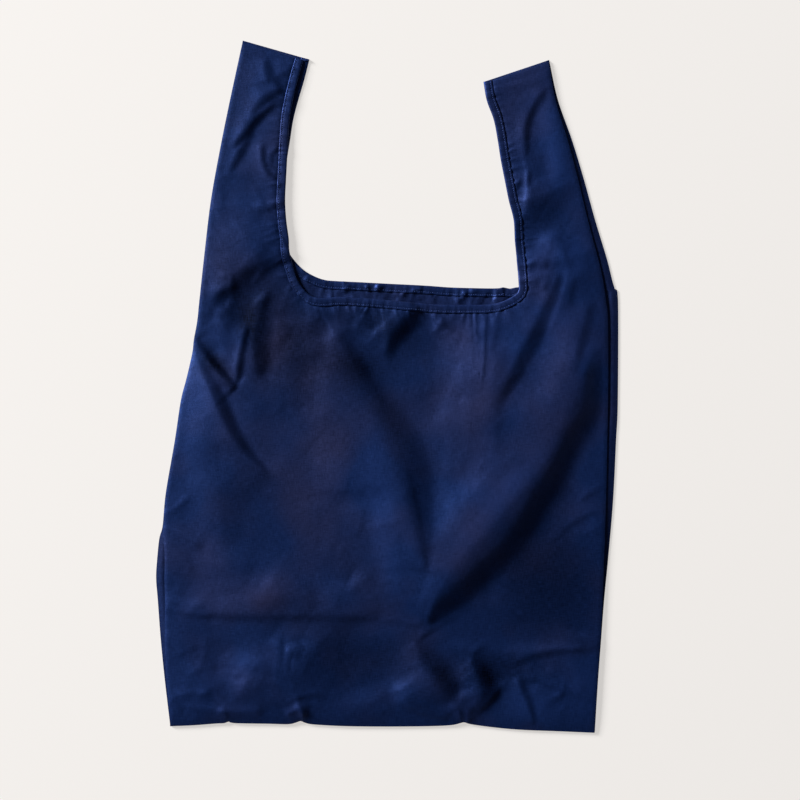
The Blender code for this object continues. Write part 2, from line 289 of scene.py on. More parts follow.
FACETS = [
    # the long diagonal fold on the lower right
    ([(199, 44, 4), (195, 22, 8), (190, 0, 12), (184, -25, 15), (171, -50, 14), (159, -75, 13),
      (143, -99, 15), (125, -125, 19), (103, -150, 19), (80, -174, 18), (57, -199, 13), (35, -223, 1.5)],
     -23, 60, (34, 10), 0.5),
    # the fold down the middle, and the dart that it ends in
    ([(-48, 62, 8), (-34, 28, 11), (-18, 0, 15), (0, -26, 15), (18, -52, 15), (28, -76, 13), (31, -100, 12),
      (34, -126, 9), (36, -150, 6), (38, -172, 1)], -13, 40, (25, 8), 0.2),
    ([(-14, -22, 3), (6, -56, 5), (18, -88, 6), (26, -120, 6), (33, -150, 3.5), (37, -172, 1)],
     -14, 14, (18, 6), 0.1),
    ([(-40, 44, 3), (-28, 22, 5), (-14, 2, 5), (0, -20, 3)], -6, 14, (10, 10), 0.2),
    # under the mouth
    ([(36, 71, 7), (26, 59, 12), (12, 45, 11), (1, 20, 4)], -23, 16, (6, 14), 0.0),
    ([(-22, 70, 3), (-14, 58, 5), (-2, 48, 4)], -13, 10, (5, 8), 0.1),
    ([(2, -84, 8), (13, -120, 9), (27, -162, 5)], 9, 14, (20, 12), 0.3),
    ([(-48, 60, 6), (-38, 44, 9), (-24, 28, 9), (-10, 10, 5)], -7, 18, (12, 14), 0.2),
    ([(-66, 68, 8), (-64, 48, 9), (-60, 20, 7)], -9, 20, (8, 16), 0.2),
    # to the right of it
    ([(162, 108, 3), (157, 90, 4), (147, 66, 6), (134, 38, 7), (117, 8, 6), (100, -24, 3)],
     -16, 26, (10, 24), 0.4),
    ([(192, 82, 3.5), (186, 56, 5), (179, 30, 4), (170, 6, 2.5)], -12, 14, (10, 16), 0.4),
    ([(94, 72, 1.4), (92, 50, 1.8), (91, 22, 1.6), (87, -6, 1.2)], -12, 6, (4, 18), 0.4),
    ([(106, 66, 1.8), (101, 46, 2), (96, 26, 1.5)], -8, 7, (6, 12), 0.4),
    ([(112, 40, 5), (104, 0, 6), (104, -70, 5)], -6, 22, (14, 20), 0.3),
    # the root of the left handle, and the creases below it
    ([(-86, 122, 4), (-107, 111, 8), (-126, 101, 9), (-144, 89, 8), (-160, 80, 4)], -20, 40, (4, 14), -0.3),
    ([(-97, 152, 1.5), (-107, 133, 4), (-120, 118, 5), (-136, 106, 4), (-154, 94, 2)],
     -7, 18, (8, 10), 0.1),
    ([(-92, 100, 4), (-104, 86, 7), (-112, 70, 6)], -9, 16, (8, 10), 0.0),
    ([(-140, 84, 2), (-152, 74, 4), (-163, 66, 3)], 12, 8, (5, 5), 0.2),
    ([(-103, 92, 4), (-111, 70, 6), (-116, 44, 8), (-116, 24, 7), (-118, 4, 3)], -13, 18, (10, 12), 0.4),
    ([(-184, 54, 1.5), (-174, 27, 3), (-161, 2, 5), (-151, -20, 6), (-141, -42, 5), (-126, -64, 3.5),
      (-102, -87, 1)], -27, 22, (4, 18), 0.3),
    ([(-178, 45, 1.5), (-166, 29, 3.6), (-152, 12, 3.6), (-139, -1, 2)], -38, 9, (3, 3), 0.3),
    ([(-128, 58, 1.5), (-133, 36, 2.5), (-136, 18, 2.8), (-139, -1, 1.5)], -24, 10, (8, 3), 0.4),
    ([(-150, 66, 5), (-146, 44, 7), (-146, 18, 4)], -8, 14, (8, 10), 0.3),
    # the middle of the left side
    ([(-156, -146, 6), (-128, -156, 9), (-100, -166, 10), (-78, -182, 9), (-61, -206, 5)],
     -7, 26, (18, 14), 0.2),
    # the line that the bag was folded on, across its foot
    ([(-208, -208, 1.5), (-174, -213, 3), (-126, -215, 3.5), (-60, -215, 3.5), (0, -219, 3), (34, -224, 2)],
     12, 24, (2, 4), 0.3),
    ([(34, -219, 2), (77, -219, 6), (124, -220, 8), (161, -223, 8), (206, -227, 8)], 7, 10, (8, 2), 0.3),
    ([(36, -229, 1.5), (58, -236, 6), (90, -240, 8), (136, -241, 5), (186, -241, 2)], -9, 9, (5, 12), 0.3),
    # folds that leave the point where the diagonal ends
    ([(28, -233, 3), (38, -249, 9), (51, -264, 11), (59, -279, 9), (63, -293, 3)],
     -15.5, 30, (5, 10), -0.3),
    ([(78, -247, 3), (88, -258, 8), (95, -271, 10), (97, -284, 9), (90, -294, 6), (72, -308, 2)],
     -20, 20, (8, 8), -0.4),
    ([(2, -276, 4), (14, -291, 7), (34, -302, 6), (62, -309, 3)], 15, 16, (12, 6), 0.1),
    ([(206, -244, 1.5), (182, -245, 2.4), (156, -247, 3.2), (134, -252, 3), (112, -262, 2)],
     -15, 10, (2, 14), 0.4),
    ([(121, -268, 1.5), (128, -282, 3.5), (134, -298, 3), (138, -314, 1.5)], -21, 7, (6, 3), 0.4),
    ([(126, -270, 1.3), (160, -282, 1.6), (196, -297, 1.3)], 15, 5, (6, 4), 0.4),
    ([(203, -116, 2), (184, -122, 3), (166, -134, 3), (150, -152, 2)], -14, 12, (2, 12), 0.4),
    # the left handle
    ([(-92, 272, 7), (-110, 262, 9), (-124, 246, 5), (-143, 221, 2)], -17, 14, (8, 8), 0.4),
    ([(-101, 263, 1.5), (-119, 248, 3), (-131, 233, 3), (-144, 220, 1.5)], -26, 9, (8, 6), 0.4),
    ([(-122, 240, 2), (-134, 218, 3.5), (-147, 196, 2)], -26, 9, (8, 8), 0.4),
    ([(-115, 228, 2), (-114, 210, 2.5), (-108, 196, 2), (-96, 187, 1.5)], -28, 7, (8, 4), 0.4),
    ([(-98, 224, 1.5), (-107, 214, 2), (-107, 204, 2), (-97, 197, 1.5)], -20, 5, (4, 4), 0.4),
    ([(-112, 306, 2), (-110, 294, 4), (-107, 280, 3)], -18, 8, (4, 6), 0.4),
    ([(-157, 190, 3), (-152, 178, 4), (-150, 162, 3)], -9, 9, (6, 8), 0.3),
    ([(-94, 168, 2), (-108, 166, 4), (-124, 160, 4)], -10, 10, (3, 10), 0.4),
    ([(-76, 300, 2), (-90, 292, 3), (-108, 282, 2)], -14, 7, (3, 8), 0.4),
    # the right handle
    ([(150, 280, 2), (142, 265, 4), (133, 249, 3.5), (130, 232, 3), (131, 212, 1.5)],
     -26, 12, (10, 6), 0.4),
    ([(133, 202, 1.2), (131, 184, 1.8)], -24, 6, (4, 4), 0.4),
    ([(126, 196, 1), (120, 180, 2)], -18, 5, (4, 4), 0.4),
    ([(119, 160, 11), (136, 159, 16), (151, 165, 14), (166, 178, 9), (186, 194, 3)], 13, 22, (12, 8), 0.2),
    ([(92, 268, 2), (112, 274, 3), (132, 279, 3), (154, 288, 2)], 8, 8, (5, 5), 0.3),
    ([(126, 107, 2), (138, 112, 4), (150, 109, 2)], 16, 8, (4, 5), 0.4),
    ([(125, 100, 1.5), (136, 95, 3), (149, 88, 2)], 16, 8, (3, 6), 0.4),
    ([(176, 104, 2), (172, 88, 3), (170, 70, 3)], -10, 9, (6, 10), 0.4),
    # broad tones: cloth that leans to one side or the other
    ([(-44, -50, 16), (-46, -80, 26), (-40, -112, 16)], 5, 26, (20, 20), 0.3),
    ([(-180, 0, 10), (-184, -60, 14), (-186, -112, 10)], 4, 24, (30, 30), 0.0),
    ([(66, 66, 22), (72, 20, 28), (66, -50, 24)], 6, 30, (20, 30), 0.0),
    ([(164, 76, 10), (158, 20, 17), (146, -34, 14)], 7, 24, (20, 30), 0.2),
    ([(-16, -50, 9), (-10, -100, 13), (-2, -150, 13), (2, -196, 10)], 5, 16, (20, 20), 0.1),
    ([(-88, 72, 12), (-84, 20, 19), (-84, -34, 14)], -6, 22, (16, 24), 0.0),
    ([(-172, -60, 12), (-170, -120, 16), (-166, -196, 12)], 5, 20, (24, 16), 0.0),
    ([(146, 272, 8), (152, 228, 11), (157, 192, 9)], 7, 9, (14, 6), 0.1),
    ([(178, 142, 7), (175, 116, 9), (166, 90, 7)], 7, 9, (10, 12), 0.1),
    ([(96, -76, 16), (74, -110, 18), (52, -148, 12)], 6, 30, (20, 16), 0.3),
    ([(-128, -164, 18), (-130, -188, 30), (-130, -212, 24)], 5, 26, (20, 20), 0.0),
    ([(-124, -238, 14), (-136, -262, 22), (-150, -288, 14)], 7, 18, (20, 20), 0.0),
    ([(134, 142, 14), (142, 122, 22), (148, 102, 20)], 7, 14, (14, 14), 0.2),
    ([(186, -36, 8), (178, -66, 9), (168, -104, 8)], 6, 14, (12, 16), 0.3),
    ([(160, -140, 24), (150, -180, 36), (140, -226, 44)], -8, 34, (24, 16), -0.3),
    ([(-60, -216, 34), (-50, -250, 44), (-40, -300, 40)], -5, 30, (24, 24), -0.2),
    ([(-120, 40, 20), (-112, -70, 22)], -4, 30, (20, 30), 0.2),
    ([(118, 260, 8), (124, 214, 10), (128, 190, 8)], 5, 16, (16, 10), 0.2),
]

FOLDS = [
    ([(37, -170), (34, -186), (28, -200)], -0.5, 6, 6, 2.0, (4, 10)),
    # the bottom right corner
    ([(148, -292), (156, -288), (166, -284)], 0.6, 3, 3, 0.8, (8, 8)),
    ([(114, -270), (103, -281), (94, -293), (84, -303), (71, -313)], 1.2, 4, 5, 1.2, (12, 4)),
    # along the bottom
    ([(10, -285), (20, -297), (40, -306), (60, -308)], 0.8, 5, 8, 1.2, (14, 8)),
    ([(-80, -313), (-78, -304), (-84, -290)], 2.4, 5, 4, 1.5, (2, 10)),
    ([(-96, -306), (-84, -300), (-72, -304)], 1.2, 4, 4, 1.0, (6, 6)),
    ([(70, -314), (66, -302), (58, -292)], 1.8, 4, 6, 1.5, (2, 10)),
    ([(-147, -313), (-150, -304), (-158, -298)], 1.2, 4, 4, 1.0, (2, 8)),
    ([(-190, -296), (-165, -300), (-140, -302), (-112, -300)], 0.9, 4, 6, 1.0, (8, 10)),
    # low creases at the left edge
    ([(-212, -121), (-197, -113), (-180, -99)], 0.9, 4, 4, 0.8, (2, 12)),
    ([(-208, -131), (-188, -138), (-169, -151)], 0.9, 4, 5, 0.8, (2, 12)),
    ([(-206, -142), (-190, -158), (-178, -176)], 0.6, 4, 5, 0.8, (4, 12)),
    ([(-205, -196), (-185, -202), (-166, -204)], 0.8, 4, 5, 0.8, (4, 14)),
    ([(-206, -226), (-190, -238), (-176, -244)], 0.7, 4, 5, 0.8, (4, 12)),
    ([(-204, -292), (-184, -284), (-160, -286)], 0.8, 4, 5, 0.8, (6, 12)),
    # under the left handle
    ([(-168, 92), (-154, 88), (-138, 96)], 1.0, 5, 5, 1.0, (8, 8)),
    ([(-152, 74), (-140, 84), (-124, 90)], 1.0, 5, 5, 1.0, (8, 8)),
    ([(-104, 62), (-86, 70), (-70, 72)], -1.2, 7, 7, 1.5, (10, 8)),
    # left handle
    ([(-82, 282), (-104, 268), (-128, 250)], -0.9, 4, 5, 1.2, (8, 12)),
    ([(-159, 192), (-142, 198), (-124, 190)], 0.8, 5, 5, 1.2, (6, 14)),
    ([(-163, 164), (-140, 168), (-112, 160)], 1.0, 7, 9, 2.0, (6, 16)),
    ([(-96, 172), (-112, 166), (-126, 168)], 0.7, 4, 4, 1.0, (4, 12)),
    # hems across the tops of the handles
    ([(-137, 314), (-106, 304.5), (-82, 297)], -0.7, 1.6, 2.6, 0.6, (2, 2)),
    ([(95, 277), (122, 286), (153, 296)], -0.5, 1.6, 2.6, 0.6, (2, 2)),
    # right handle
    ([(134, 140), (157, 130), (168, 110), (162, 80), (147, 43)], 1.1, 10, 7, 2.0, (20, 20)),
    ([(158, 148), (176, 138), (188, 124)], -0.8, 6, 6, 1.5, (10, 10)),
    ([(202, -92), (188, -98), (176, -108)], 0.9, 5, 5, 1.2, (4, 10)),
    ([(200, -128), (182, -138), (168, -134)], 0.7, 5, 5, 1.2, (4, 10)),
    ([(168, -140), (156, -152), (146, -162)], 0.8, 5, 5, 1.2, (8, 10)),
]

SWELLS = [
    (64, -272, 2.2, 56, 24, 0), (-146, 118, 1.0, 26, 30, 60), (-28, -68, 1.6, 50, 28, 20),
    (-80, -250, 1.4, 46, 30, 10), (-150, -262, 1.2, 36, 18, 15), (-60, -20, 1.0, 60, 40, 60),
    (70, 0, 1.0, 40, 70, 0), (-160, -100, 1.0, 60, 24, 75), (140, -190, -0.6, 60, 30, 45),
    (150, -270, 0.8, 40, 22, 0), (0, -250, -0.6, 40, 30, 0), (-10, -300, 1.0, 40, 12, 0),
    (-120, 20, -0.6, 40, 30, 0), (150, 60, 0.8, 26, 50, -15), (-130, 140, 0.8, 30, 30, 0),
    (150, 210, 0.6, 22, 40, 20), (-120, 290, 0.5, 22, 20, 0),
]


# painted light and shade: soft patches that make the cloth lighter or darker, standing in for broad tilts:
# like SWELLS
LIGHT_AND_SHADE_PATCHES = [
    (156, -184, -0.52, 60, 62, 40), (-50, -262, -0.18, 110, 34, 0), (-126, 84, -0.46, 42, 26, 20),
    (-62, 52, -0.14, 18, 26, 0), (106, 30, 0.20, 44, 60, 0), (-46, -56, -0.12, 26, 18, 0),
    (-28, -92, 0.14, 26, 18, 0), (-136, -262, 0.26, 44, 18, 15), (-128, -188, 0.14, 44, 14, 0),
    (8, 52, -0.44, 38, 20, -30), (20, -70, -0.16, 60, 18, -70), (140, 160, -0.20, 30, 20, 0),
    (144, 122, 0.28, 24, 18, 0), (-84, 30, -0.36, 32, 46, 0), (-18, -246, -0.24, 56, 22, 0),
    (76, -90, 0.28, 74, 20, 55), (-176, -20, 0.20, 60, 16, 72), (-128, -92, -0.14, 40, 24, 30),
    (-146, 258, -0.24, 70, 16, 78), (96, -240, 0.16, 56, 8, 0), (50, -266, -0.42, 28, 9, -55),
    (94, -275, -0.50, 26, 10, -72), (0, -26, -0.30, 52, 15, -58), (-30, 12, -0.22, 26, 18, -60),
    (-158, 21, -0.62, 28, 7, -50), (-123, 42, -0.42, 36, 11, -70), (-150, 122, -0.20, 26, 18, 80),
    (-88, 46, -0.18, 22, 30, 0), (92, -120, 0.48, 62, 11, 51), (-86, -218, -0.22, 34, 12, 0),
    (116, -262, -0.26, 26, 14, 0), (188, -274, 0.36, 20, 26, 0), (124, -294, 0.24, 40, 13, 0),
    (-6, -216, 0.18, 28, 20, 0), (-6, -108, 0.40, 74, 14, -82), (185, 34, 0.36, 12, 36, 0),
    (-166, 20, -0.36, 12, 13, 0), (-24, 20, -0.32, 38, 14, 0), (112, -94, 0.30, 24, 10, 48),
    (186, -122, 0.18, 14, 40, 0), (152, 62, 0.52, 20, 18, 0), (152, 222, 0.68, 50, 13, 105),
    (174, 120, 0.50, 14, 18, 0), (-124, 62, -0.24, 16, 16, 0), (-126, 18, -0.16, 14, 22, 0),
    (-20, 60, -0.18, 26, 16, 0), (24, -105, -0.12, 50, 10, -70), (80, -268, -0.26, 40, 26, 0),
    (-190, -60, 0.10, 20, 60, 0), (-168, -170, 0.22, 18, 36, 0), (112, -56, -0.16, 16, 22, 0),
    (160, -98, -0.30, 24, 10, 50),
]
# where the dye turns to plum and the gloss is painted whiter: partly plum dye, partly painted reflection:
# like SWELLS
PLUM_DYE_AND_PAINTED_GLOSS = [
    (-52, -76, 0.74, 110, 34, 102), (-96, -92, 0.4, 50, 18, 110), (66, 10, 0.40, 80, 44, 90),
    (-109, -197, 0.8, 24, 20, 0), (150, -10, 0.55, 70, 22, 75), (84, -128, 0.35, 50, 22, 45),
    (140, 236, 0.40, 60, 26, 105), (-104, 40, 0.5, 40, 14, 80), (-165, -180, 0.15, 40, 30, 0),
    (-26, -88, -0.6, 30, 26, 0), (-140, 158, 0.10, 60, 30, 80), (20, 50, -0.3, 30, 30, 0),
    (-150, -60, 0.2, 40, 20, 110),
]


# random creases: a seed, how many, the area, and the least and most of their length, width and height
CRUMPLES = [
    (3, 120, (-200, -310, 205, 300), (24, 90), (7, 20), (0.25, 0.9)),
    (4, 260, (-200, -310, 205, 300), (8, 30), (2, 5), (0.06, 0.3)),
    # fine crushing, at the root of the left handle, along the foot and under the mouth
    (5, 22, (-168, 62, -96, 108), (10, 34), (2.0, 4.5), (0.25, 0.7)),
    (6, 26, (-200, -304, -70, -236), (16, 60), (3, 7), (0.3, 0.9)),
    (7, 14, (110, -308, 190, -262), (14, 44), (2, 5), (0.2, 0.6)),
    (15, 16, (-40, 36, 60, 72), (12, 36), (2.5, 5), (0.3, 0.8)),
]
# the same where the back shows in the mouth, above all at its corners
MOUTH_CRUMPLES = [
    (12, 26, (-92, 74, -34, 112), (5, 20), (1.4, 3.0), (0.6, 1.6)),
    (13, 22, (70, 70, 122, 96), (5, 18), (1.4, 3.0), (0.6, 1.6)),
    (14, 26, (-36, 74, 76, 94), (5, 26), (1.2, 2.6), (0.6, 1.5)),
]


def wrinkles(x, y):
    z = np.zeros(x.shape)
    for path, angle, reach, ends, lift in FACETS:
        z += facet(x, y, path, angle, reach, ends, lift)
    for path, height, left, right, crest, ends in FOLDS:
        z += 1.3 * crease(x, y, path, height, left, right, crest, ends)
    for area in SWELLS:
        z += swell(x, y, *area)
    # the pressed lines that the bag was folded on
    for line in (LEFT_FOLD, RIGHT_FOLD):
        z += crease(x, y, list(line), 0.05, 3.5, 3.5, 0.6, (4, 60))
    for area in CRUMPLES:
        z += crumple(x, y, *area)
    return z


def puckers(x, y, inner, seed):
    """Short gathers that run off the stitching of a hem."""
    d, run = near(inner, x, y)
    off = np.abs(d) - HEM_W
    pick = np.random.default_rng(seed)
    z = np.zeros(x.shape)
    total = float(np.hypot(*np.diff(inner, axis=0).T).sum())
    at = 6.0
    while at < total:
        size, long, wide = pick.uniform(0.15, 0.8), pick.uniform(4, 13), pick.uniform(1.2, 2.4)
        slant = pick.uniform(-0.5, 0.5)
        z += size * np.exp(-(((run - at - slant * off) / wide) ** 2)) * np.exp(-np.clip(off, 0, 99) / long)
        at += pick.uniform(4.5, 10)
    return z * ramp((off + 1.2) / 1.2)


def front_flat(x, y):
    """Height of the top of the front cloth, without the gathers at its hem."""
    handle = ramp((y - 90) / 110)
    z = FRONT_LIES - 1.0 * handle + wrinkles(x, y) * (1 - 0.2 * handle)
    z = FRONT_LOW + np.logaddexp(0, (z - FRONT_LOW) * 1.6) / 1.6
    # flatter where the left handle comes to lie when the bag is folded up
    landing = np.exp(-(((x + 25) / 62) ** 4) - ((y - 20) / 105) ** 4)
    too_high = z - FRONT_HIGH + LANDING_ROOM * landing
    z -= np.logaddexp(0, too_high * 1.2) / 1.2 * (0.7 + 0.24 * landing)
    # it comes down to the gusset at the sides, to the seam at the foot, and to the tops of the handles
    side = np.minimum(x - across(E_LEFT_FRONT, y), across(E_RIGHT_FRONT, y) - x)
    z -= (z - 3.5) * np.exp(-np.clip(side, 0, None) / 15.0) * 0.85
    z -= 0.5 * (1 - ramp(side / 2.0)) ** 2
    foot = y - np.interp(x, E_BOTTOM[:, 0], E_BOTTOM[:, 1])
    z -= (z - 1.9) * np.exp(-np.clip(foot, 0, None) / 8.0) * 0.75
    for inner, outer in ((LEFT_INNER_FRONT[-1], LEFT_FRONT[-1]), (RIGHT_INNER[-1], RIGHT_FRONT[-1])):
        d, _ = near(np.array([outer, inner]), x, y)
        z -= (z - 2.0) * np.exp(-np.abs(d) / 6.0) * 0.8
    return z


def back_flat(x, y):
    """Height of the top of the back cloth, without the gathers at its hem."""
    z = BACK_LIES + 0.16 * crumple(x, y, 11, 200, (-210, -310, 210, 300), (20, 80), (4, 10), (0.5, 2.0))
    for area in MOUTH_CRUMPLES:
        z += crumple(x, y, *area)
    # the seam where it meets the side, a low ridge beside the edge
    side = np.minimum(x - across(E_LEFT_BACK, y), across(E_RIGHT_BACK, y) - x)
    z += 1.0 * np.exp(-(((side - 5.5) / 3.0) ** 2))
    return np.clip(z, BACK_LOW, BACK_HIGH)


def hemmed(flat, inner, seed, depth):
    """The cloth goes in between the layers of its hem, and gathers at the stitching."""
    def height(x, y):
        d, _ = near(inner, x, y)
        off = np.abs(d) - HEM_W
        groove = 0.6 * depth * np.exp(-np.clip(off - 0.3, 0, None) / 1.8)
        return flat(x, y) + depth * puckers(x, y, inner, seed) - groove
    return height


# ---- meshes -----------------------------------------------------------------------------------

def in_polygon(polygon, x, y):
    inside = np.zeros(x.shape, bool)
    for (ax, ay), (bx, by) in zip(polygon, np.roll(polygon, -1, axis=0)):
        if ay != by:
            inside ^= ((ay > y) != (by > y)) & (x < (bx - ax) * (y - ay) / (by - ay) + ax)
    return inside


def fold_rows():
    """Lines beside each fold, close enough together for the cloth to turn smoothly."""
    rows = []
    offsets = [0.4, *np.arange(1.0, FOLD_ZONE + 1, 0.8)]
    for line, sign in ((LEFT_FOLD, 1), (RIGHT_FOLD, -1)):
        a, b = np.array(line[0]), np.array(line[1])
        along = (b - a) / np.hypot(*(b - a))
        left = np.array([-along[1], along[0]])
        for d in [*(sign * o for o in offsets), *(-sign * o for o in STILL_ROWS)]:
            rows.append(np.array([a - along * 12 + left * d, b + along * 20 + left * d]))
    for d in [*offsets, *(-o for o in STILL_ROWS)]:
        for x0, x1 in ((-175, -85), (110, 212)):
            rows.append(np.array([(x0, HANDLE_ROOT_Y + d), (x1, HANDLE_ROOT_Y + d)]))
    return rows


def beside_fold(x, y, margin):
    """Which points lie among those rows."""
    found = np.zeros(len(x), bool)
    for d, part in (
        (beyond(LEFT_FOLD, x, y), y < FOLD_TOP),
        (-beyond(RIGHT_FOLD, x, y), y < FOLD_TOP),
        (y - HANDLE_ROOT_Y, True),
    ):
        found |= (d > -STILL_ROWS[-1] - margin) & (d < FOLD_ZONE + 1 + margin) & part
    return found


def plan_mesh(outline, step, inner):
    """Triangles that fill an outline, with edges along the fold lines and small ones by the hem."""
    cuts = []
    for line in (LEFT_FOLD, RIGHT_FOLD):
        a, b = np.array(line[0]), np.array(line[1])
        cuts.append(even(np.array([a - (b - a) * 0.04, b + (b - a) * 0.12]), step))
    for x0, x1 in ((-190, -80), (100, 225)):
        cuts.append(even(np.array([(x0, HANDLE_ROOT_Y), (x1, HANDLE_ROOT_Y)]), step))
    fine = even(inner, step * 0.5)
    _, n = side_normals(fine)
    hem_points = np.vstack([fine + n * (HEM_W + o) for o in (-0.6, 0.3, 1.3, 2.5, 4.0, 5.8)])
    lo, hi = outline.min(0), outline.max(0)
    ys = np.arange(lo[1], hi[1], step * math.sqrt(3) / 2)
    gx, gy = np.meshgrid(np.arange(lo[0], hi[0], step), ys)
    gx = gx + (np.arange(len(ys)) % 2)[:, None] * step / 2

    def clear(points, gap):
        """The points that are inside the outline, and not on it or within the gap of a cut."""
        points = points[in_polygon(outline, points[:, 0], points[:, 1])]
        d, _ = near(np.vstack([outline, outline[:1]]), points[:, 0], points[:, 1])
        points = points[np.abs(d) > step * 0.55]
        for cut in cuts:
            d, _ = near(cut[[0, -1]], points[:, 0], points[:, 1])
            points = points[np.abs(d) > gap]
        return points

    fill = clear(np.column_stack([gx.ravel(), gy.ravel()]), step * 0.5)
    x, y = fill.T
    margin = step * 0.6
    d, _ = near(inner, x, y)
    fill = fill[~(beside_fold(x, y, margin) | (np.abs(np.abs(d) - HEM_W - 2.6) < 3.2 + margin))]
    hem_points = hem_points[~beside_fold(*hem_points.T, margin)]
    rows = np.vstack([even(row, step) for row in fold_rows()])
    points = [tuple(p) for p in np.vstack([outline, clear(np.vstack([rows, hem_points]), 0.2), fill])]
    edges = [(i, (i + 1) % len(outline)) for i in range(len(outline))]
    for cut in cuts:
        edges += [(len(points) + i, len(points) + i + 1) for i in range(len(cut) - 1)]
        points += [tuple(p) for p in cut]
    verts, _, faces, *_ = geometry.delaunay_2d_cdt([Vector(p) for p in points], edges, [], 1, 1e-4)
    verts = np.array([tuple(v) for v in verts])
    faces = np.array(faces)
    centre = verts[faces].mean(axis=1)
    faces = faces[in_polygon(outline, centre[:, 0], centre[:, 1])]
    a, b, c = (verts[faces[:, i]] for i in range(3))
    area = (b[:, 0] - a[:, 0]) * (c[:, 1] - a[:, 1]) - (b[:, 1] - a[:, 1]) * (c[:, 0] - a[:, 0])
    faces[area < 0] = faces[area < 0][:, ::-1]
    return verts, faces[np.abs(area) > 1e-4]


def regions(x, y):
    """Which part of the bag each plan point is in."""
    out = np.full(x.shape, "center", dtype="<U12")
    out[beyond(LEFT_FOLD, x, y) > 0] = "left"
    out[beyond(RIGHT_FOLD, x, y) < 0] = "right"
    high = y > HANDLE_ROOT_Y
    out[high & (x < 20)] = "left_handle"
    out[high & (x >= 20)] = "right_handle"
    return out


def turn_share(d):
    t = np.clip(d / FOLD_ZONE, 0, 1)
    return 0.6 * t + 0.4 * ramp(t)


def lift_share(x, y):
    """How far each point of the front's middle goes up with the mouth: not at all by the folds."""
    dl, dr = -beyond(LEFT_FOLD, x, y), beyond(RIGHT_FOLD, x, y)
    return ramp((y - MOUTH_HINGE_Y + 30) / 75) * ramp(np.minimum(dl, dr) / (0.46 * (dl + dr)))


def bend(obj, region, layer):
    """Parents the middle of the back to the body that it moves with; other pieces only have their transform
    baked, and their share of each turn is worked out but not used.
    """
    co = np.empty(len(obj.data.vertices) * 3)
    obj.data.vertices.foreach_get("co", co)
    x, y = co[0::3] / MM, co[1::3] / MM
    if region == "center" and layer == "back":
        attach(obj, "center")
        return
    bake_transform(obj)
    share = {
        "center": lift_share(x, y),
        "left": turn_share(beyond(LEFT_FOLD, x, y)),
        "right": turn_share(-beyond(RIGHT_FOLD, x, y)),
    }.get(region, turn_share(y - HANDLE_ROOT_Y))


def new_mesh(name, verts, faces, material, sharp=None):
    data = bpy.data.meshes.new(name)
    places = np.asarray(verts, float) * MM
    data.from_pydata([tuple(v) for v in places], [], [tuple(int(i) for i in f) for f in faces])
    data.materials.append(material)
    data.shade_smooth()
    if sharp:
        keys = {tuple(sorted(e)) for e in sharp}
        marks = data.attributes.new("sharp_edge", "BOOLEAN", "EDGE")
        marks.data.foreach_set("value", [tuple(sorted(e.vertices)) in keys for e in data.edges])
    px, py = np.asarray(verts, float)[:, :2].T
    # per point: the painted light and shade, and the plum dye with its painted whiter gloss
    for attribute, areas in (("PaintedLightAndShade", LIGHT_AND_SHADE_PATCHES), ("Tint", PLUM_DYE_AND_PAINTED_GLOSS)):
        field = sum(swell(px, py, *area) for area in areas)
        data.attributes.new(attribute, "FLOAT", "POINT").data.foreach_set("value", field.astype(np.float32))
    uv = data.uv_layers.new(name="Cloth")
    loops = np.empty(len(data.loops), np.int64)
    data.loops.foreach_get("vertex_index", loops)
    uv.data.foreach_set("uv", places[loops][:, :2].astype(np.float32).ravel())
    obj = bpy.data.objects.new(name, data)
    bpy.context.scene.collection.objects.link(obj)
    return obj


def shell(name, verts, faces, thickness, material):
    """A closed sheet: the surface, the same surface one thickness below it, and the cut edge between."""
    verts, faces = np.asarray(verts, float), np.asarray(faces)
    used = np.unique(faces)
    index = np.full(len(verts), -1)
    index[used] = np.arange(len(used))
    verts, faces = verts[used], index[faces]
    n = np.zeros_like(verts)
    cross = np.cross(verts[faces[:, 1]] - verts[faces[:, 0]], verts[faces[:, 2]] - verts[faces[:, 0]])
    for i in range(3):
        np.add.at(n, faces[:, i], cross)
    n /= np.linalg.norm(n, axis=1)[:, None] + 1e-12
    under = verts - n * thickness
    count = {}
    for i, j in ((0, 1), (1, 2), (2, 0)):
        for a, b in zip(faces[:, i], faces[:, j]):
            count[(a, b)] = count.get((a, b), 0) + 1
    rim = [(a, b) for a, b in count if (b, a) not in count]
    k = len(verts)
    all_faces = [*map(tuple, faces), *map(tuple, faces[:, ::-1] + k), *((b, a, a + k, b + k) for a, b in rim)]
    sharp = [*rim, *((a + k, b + k) for a, b in rim)]
    return new_mesh(name, np.vstack([verts, under]), all_faces, material, sharp)


def area_of(verts, faces):
    a, b, c = (verts[faces[:, i]][:, :2] for i in range(3))
    return float(np.abs(np.cross(b - a, c - a)).sum() / 2)


def lay_cloth(layer, outline, inner, height, step, material, nodes):
    """One layer of cloth over the whole bag, cut into the pieces that fold."""
    plan, faces = plan_mesh(outline, step, inner)
    verts = np.column_stack([plan, height(plan[:, 0], plan[:, 1])])
    centre = plan[faces].mean(axis=1)
    where = regions(centre[:, 0], centre[:, 1])
    for region, replaced in nodes.items():
        part = faces[where == region]
        obj = shell(f"{layer}_{region}", verts, part, CLOTH_T, material)
        bend(obj, region, layer)
        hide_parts(*replaced)
        span = np.ptp(plan[np.unique(part)], axis=0) * MM
        area = min(area_of(plan, part) * MM * MM, float(np.prod(span)))


def cut_values(x, y):
    """One value per line that the bag folds on, which changes sign as the line is crossed."""
    low = y < 112
    left, right = beyond(LEFT_FOLD, x, y), beyond(RIGHT_FOLD, x, y)
    return [np.where(low, left, 1.0), np.where(low, right, 1.0), y - HANDLE_ROOT_Y]


def side_normals(curve):
    """Unit tangents, and unit vectors to the right of the curve."""
    t = np.gradient(curve, axis=0)
    t /= np.hypot(*t.T)[:, None]
    return t, np.column_stack([t[:, 1], -t[:, 0]])


